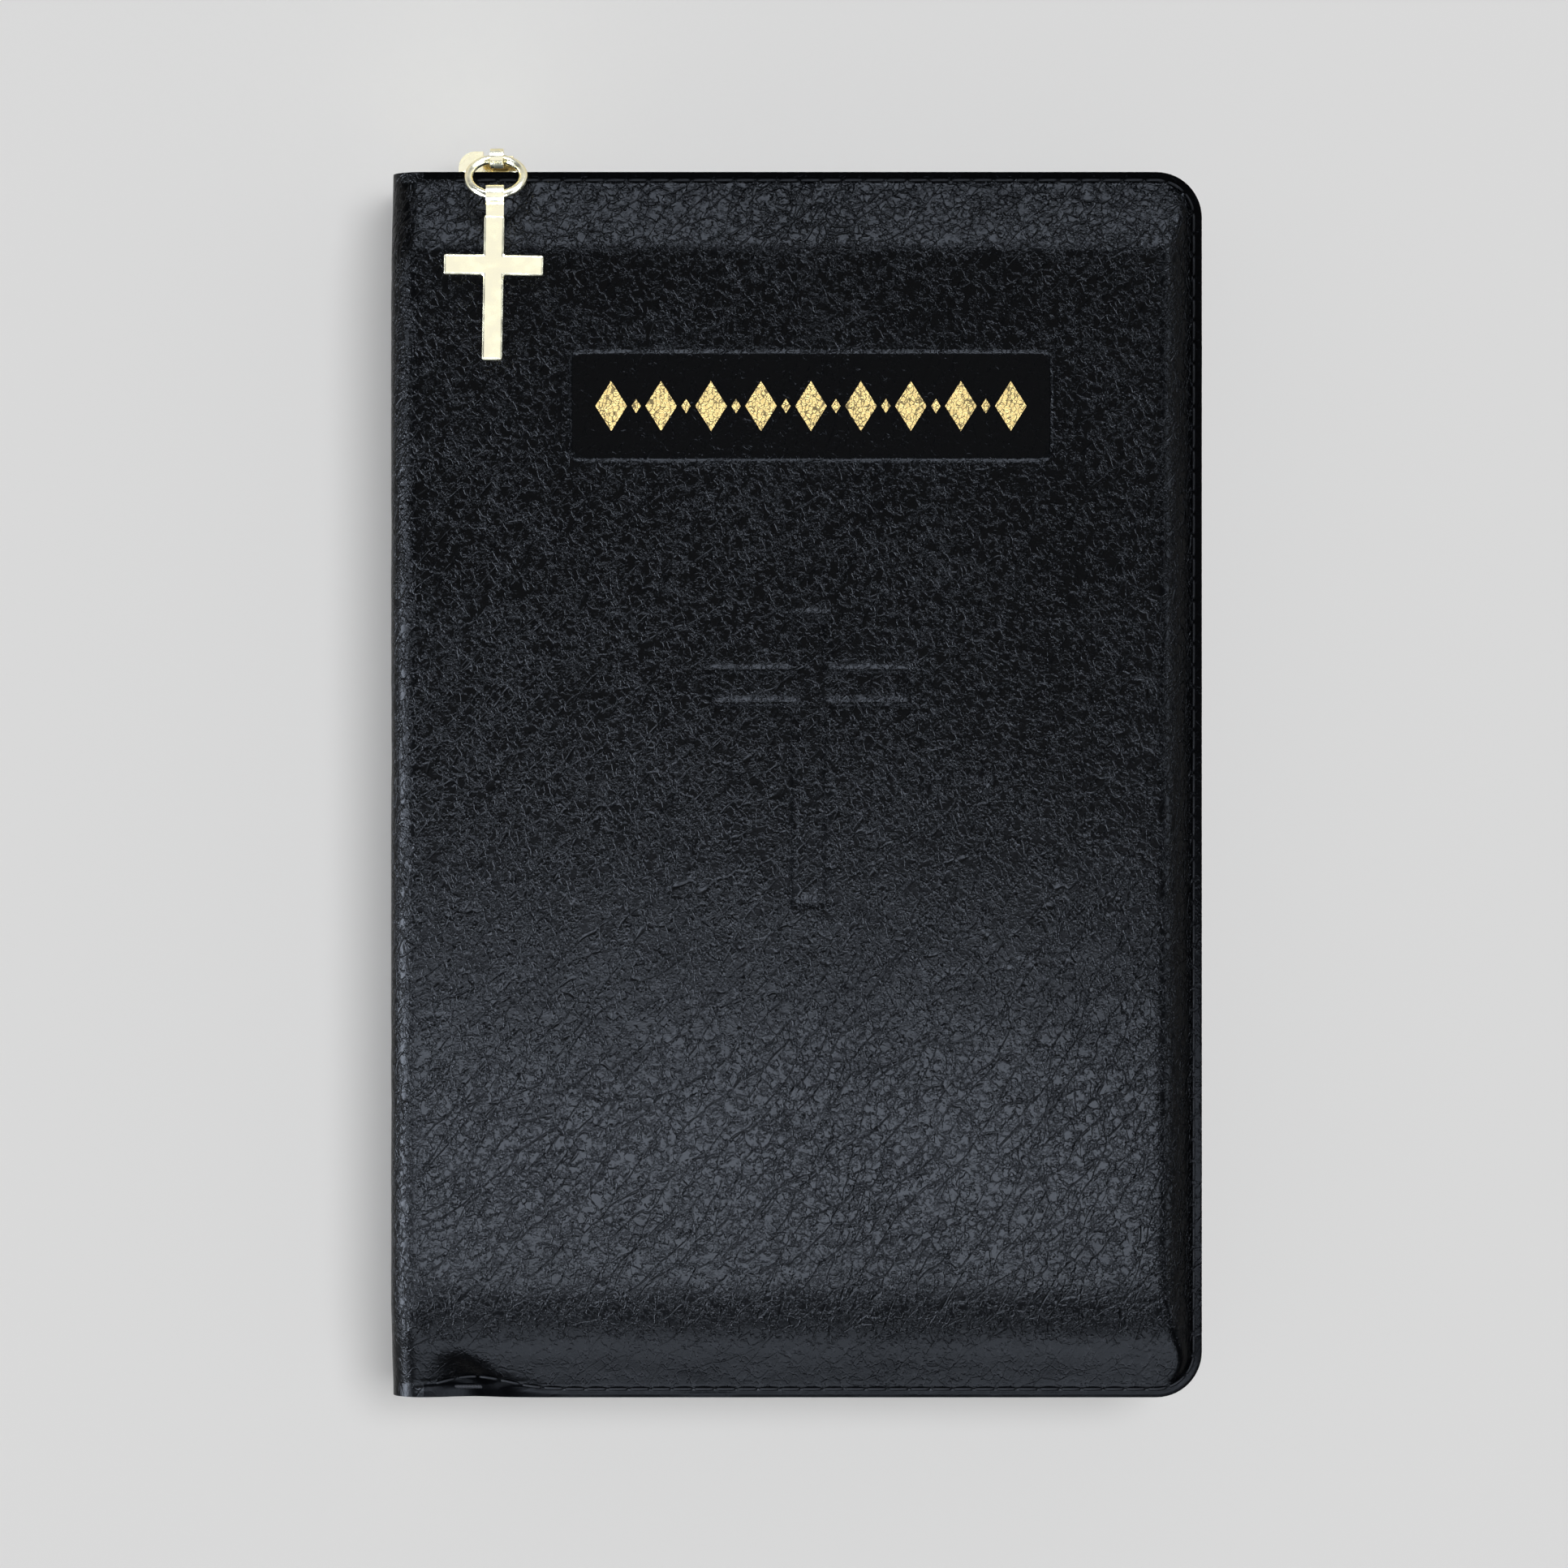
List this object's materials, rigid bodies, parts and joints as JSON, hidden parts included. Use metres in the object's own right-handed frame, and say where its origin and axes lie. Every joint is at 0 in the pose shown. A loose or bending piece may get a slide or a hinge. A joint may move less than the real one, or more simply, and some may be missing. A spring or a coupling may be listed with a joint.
{
  "type": "zip-round prayer book",
  "caption": "Black leather zip-round prayer book: hinged front cover, gilt-edged pages with ribbon markers, and a zip slider with a tab, ring and cross charm.",
  "frame": {"origin": "middle of the back cover's flat outer face, which the closed book lies on", "axes": "+X from the spine to the fore-edge, +Y from the foot to the head of the book, +Z from the back cover to the front cover"},
  "size_m": [0.124, 0.1917, 0.0384],
  "materials": {
    "black_leather": "pebbled, semi-gloss",
    "cover_board": "plain grey-brown board",
    "lining_paper": "smooth matt black lining",
    "page_paper": "thin cream paper with gilt edges",
    "spine_mull": "open cotton weave, glued",
    "headband_cloth": "rolled silk band",
    "stitch_thread": "waxed black thread",
    "zip_tape_cloth": "black herringbone tape",
    "zip_coil_nylon": "black nylon coil",
    "zip_stop_metal": "polished gold-coloured metal",
    "title_gold_foil": "stamped gold foil",
    "ribbon_red_satin": "satin",
    "ribbon_gold_satin": "satin",
    "ribbon_green_satin": "satin",
    "ribbon_purple_satin": "satin",
    "gold_plated_metal": "polished light gold plating"
  },
  "bodies": {
    "book": {"back_leather": "black_leather", "back_board": "cover_board", "back_lining": "lining_paper", "back_stitching": "stitch_thread", "back_zip_tape": "zip_tape_cloth", "back_zip_coil": "zip_coil_nylon", "back_zip_stops": "zip_stop_metal", "back_flyleaf": "lining_paper", "spine_leather": "black_leather", "spine_liner": "spine_mull", "headband_head": "headband_cloth", "headband_foot": "headband_cloth", "pages_back": "page_paper", "pages_middle": "page_paper", "pages_front": "page_paper", "ribbon_red": "ribbon_red_satin", "ribbon_gold": "ribbon_gold_satin", "ribbon_green": "ribbon_green_satin", "ribbon_purple": "ribbon_purple_satin"},
    "front_cover": {"front_leather": "black_leather", "front_board": "cover_board", "front_lining": "lining_paper", "front_stitching": "stitch_thread", "front_zip_tape": "zip_tape_cloth", "front_zip_coil": "zip_coil_nylon", "front_zip_stops": "zip_stop_metal", "title_foil": "title_gold_foil"},
    "flyleaf": {"front_flyleaf": "lining_paper"},
    "slider": {"slider_body": "gold_plated_metal", "pull_pin": "gold_plated_metal"},
    "pull": {"pull_tab": "gold_plated_metal"},
    "pull_ring": {"ring": "gold_plated_metal"},
    "cross": {"cross_bail": "gold_plated_metal", "cross_charm": "gold_plated_metal"}
  },
  "joints": [
    {"name": "front_cover_hinge", "type": "hinge", "parent": "book", "child": "front_cover", "pos_m": [-0.05685, 0, 0.0362], "axis": [0, -1, 0], "range_deg": [0, 175]},
    {"name": "flyleaf_turn", "type": "hinge", "parent": "book", "child": "flyleaf", "pos_m": [-0.0535, 0, 0.03215], "axis": [0, -1, 0], "range_deg": [0, 105]},
    {"name": "slider_slide", "type": "slide", "parent": "front_cover", "child": "slider", "axis": [1, 0, 0], "range_m": [0, 0.095]},
    {"name": "pull_swing", "type": "hinge", "parent": "slider", "child": "pull", "pos_m": [-0.0458, 0.0957, 0.019], "axis": [1, 0, 0], "range_deg": [-80, 0]},
    {"name": "ring_swing", "type": "hinge", "parent": "pull", "child": "pull_ring", "pos_m": [-0.0458, 0.0957, 0.0312], "axis": [1, 0, 0], "range_deg": [-80, 0]},
    {"name": "cross_swing", "type": "hinge", "parent": "pull_ring", "child": "cross", "pos_m": [-0.0458, 0.0896, 0.0369], "axis": [1, 0, 0], "range_deg": [-90, 0]}
  ],
  "couplings": [
    {"joint": "flyleaf_turn", "follows": "front_cover_hinge", "ratio": 0.6}
  ]
}
